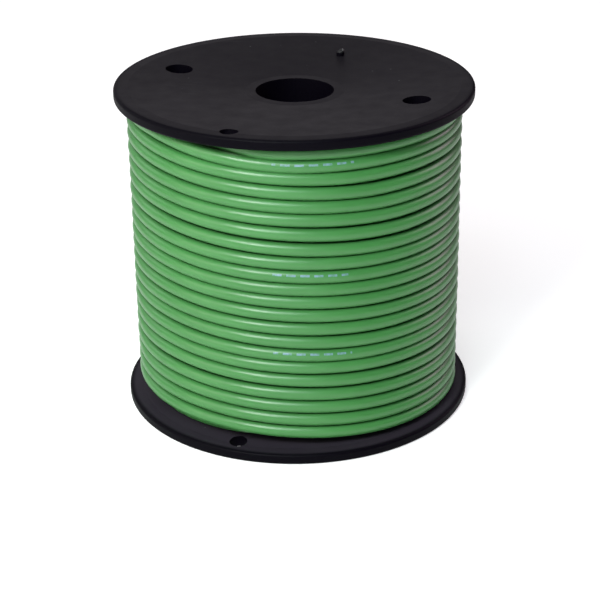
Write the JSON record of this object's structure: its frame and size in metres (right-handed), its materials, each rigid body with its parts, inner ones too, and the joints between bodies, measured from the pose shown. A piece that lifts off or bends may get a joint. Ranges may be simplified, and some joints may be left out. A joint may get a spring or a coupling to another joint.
{
  "type": "wire spool",
  "caption": "Flanged plastic spool holding a full winding of insulated stranded wire, with an arbor hole and drive holes for a reel stand or dispenser.",
  "frame": {"origin": "centre of the lower flange's rim face, which the spool stands on", "axes": "+Z along the spool's axis, from the lower flange to the upper one; -Y is the front, where the small wire holes are"},
  "size_m": [0.1016, 0.1016, 0.0948],
  "materials": {
    "flange_plastic": "satin moulded black polystyrene",
    "barrel_plastic": "matte black polystyrene",
    "wire_insulation": "semi-gloss green PVC",
    "copper": "bare cut copper strands"
  },
  "bodies": {
    "root": {"upper_flange": "flange_plastic", "lower_flange": "flange_plastic", "barrel": "barrel_plastic", "wire_layer_1": "wire_insulation", "wire_layer_2": "wire_insulation", "wire_layer_3": "wire_insulation", "wire_layer_4": "wire_insulation", "wire_layer_5": "wire_insulation", "wire_layer_6": "wire_insulation", "wire_last_turn": "wire_insulation", "wire_finish_strands": "copper", "wire_start_tail": "wire_insulation", "wire_start_strands": "copper"}
  },
  "joints": []
}
